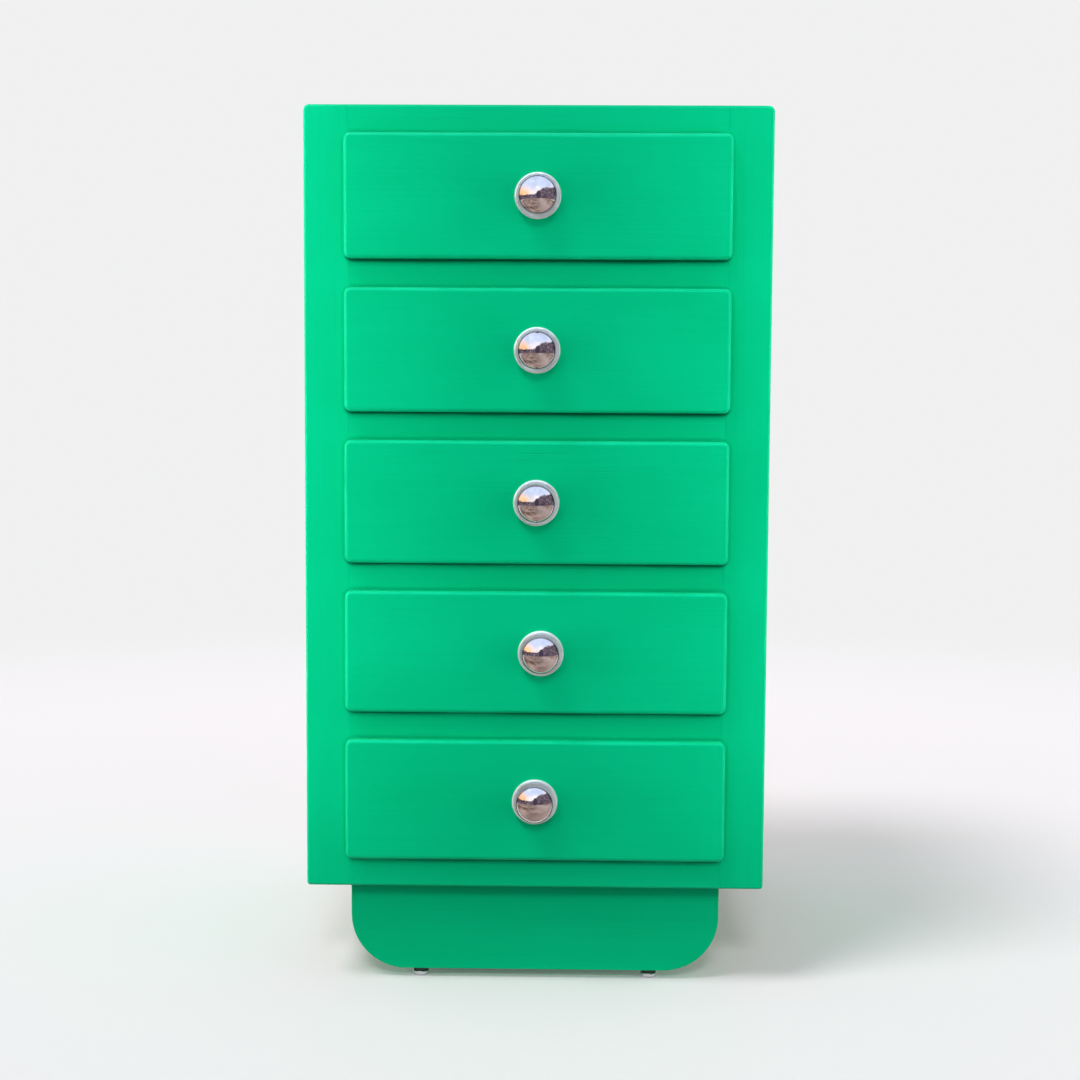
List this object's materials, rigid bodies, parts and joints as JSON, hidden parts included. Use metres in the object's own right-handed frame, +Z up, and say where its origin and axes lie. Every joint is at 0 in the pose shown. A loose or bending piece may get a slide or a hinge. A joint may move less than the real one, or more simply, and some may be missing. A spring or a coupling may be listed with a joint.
{
  "type": "chest of drawers",
  "caption": "Tall narrow painted timber chest of drawers: face-framed case, lipped drawer fronts with round dome knobs, set-back plinth with rounded ends on small metal glides.",
  "frame": {"origin": "on the floor, under the middle of the whole piece with its knobs", "axes": "+Z up, along the height; +X to the right of someone facing the fronts; the drawers open towards -Y"},
  "size_m": [0.4, 0.452, 0.764],
  "materials": {
    "green_paint": "satin emerald green paint, brushed, on pine",
    "bare_pine": "bare planed pine",
    "plywood": "bare plywood",
    "polished_chrome": "polished",
    "plated_backplate": "satin plated",
    "steel_glide": "bright steel"
  },
  "bodies": {
    "case": {"top_panel": "green_paint", "side_left": "green_paint", "side_right": "green_paint", "bottom_panel": "bare_pine", "back_panel": "plywood", "stile_left": "green_paint", "stile_right": "green_paint", "rail_top": "green_paint", "rail_mid_1": "green_paint", "rail_mid_2": "green_paint", "rail_mid_3": "green_paint", "rail_mid_4": "green_paint", "rail_bottom": "green_paint", "runners_left": "bare_pine", "runners_right": "bare_pine", "plinth_front": "green_paint", "plinth_rear": "green_paint", "plinth_bearer_left": "green_paint", "plinth_bearer_right": "green_paint", "glide_front_left": "steel_glide", "glide_front_right": "steel_glide", "glide_rear_left": "steel_glide", "glide_rear_right": "steel_glide"},
    "drawer_1": {"drawer_1_front": "green_paint", "drawer_1_side_left": "bare_pine", "drawer_1_side_right": "bare_pine", "drawer_1_back": "bare_pine", "drawer_1_bottom": "plywood", "drawer_1_backplate": "plated_backplate", "drawer_1_knob": "polished_chrome"},
    "drawer_2": {"drawer_2_front": "green_paint", "drawer_2_side_left": "bare_pine", "drawer_2_side_right": "bare_pine", "drawer_2_back": "bare_pine", "drawer_2_bottom": "plywood", "drawer_2_backplate": "plated_backplate", "drawer_2_knob": "polished_chrome"},
    "drawer_3": {"drawer_3_front": "green_paint", "drawer_3_side_left": "bare_pine", "drawer_3_side_right": "bare_pine", "drawer_3_back": "bare_pine", "drawer_3_bottom": "plywood", "drawer_3_backplate": "plated_backplate", "drawer_3_knob": "polished_chrome"},
    "drawer_4": {"drawer_4_front": "green_paint", "drawer_4_side_left": "bare_pine", "drawer_4_side_right": "bare_pine", "drawer_4_back": "bare_pine", "drawer_4_bottom": "plywood", "drawer_4_backplate": "plated_backplate", "drawer_4_knob": "polished_chrome"},
    "drawer_5": {"drawer_5_front": "green_paint", "drawer_5_side_left": "bare_pine", "drawer_5_side_right": "bare_pine", "drawer_5_back": "bare_pine", "drawer_5_bottom": "plywood", "drawer_5_backplate": "plated_backplate", "drawer_5_knob": "polished_chrome"}
  },
  "joints": [
    {"name": "drawer_1_slide", "type": "slide", "parent": "case", "child": "drawer_1", "axis": [0, -1, 0], "range_m": [0, 0.27]},
    {"name": "drawer_2_slide", "type": "slide", "parent": "case", "child": "drawer_2", "axis": [0, -1, 0], "range_m": [0, 0.27]},
    {"name": "drawer_3_slide", "type": "slide", "parent": "case", "child": "drawer_3", "axis": [0, -1, 0], "range_m": [0, 0.27]},
    {"name": "drawer_4_slide", "type": "slide", "parent": "case", "child": "drawer_4", "axis": [0, -1, 0], "range_m": [0, 0.27]},
    {"name": "drawer_5_slide", "type": "slide", "parent": "case", "child": "drawer_5", "axis": [0, -1, 0], "range_m": [0, 0.27]}
  ]
}
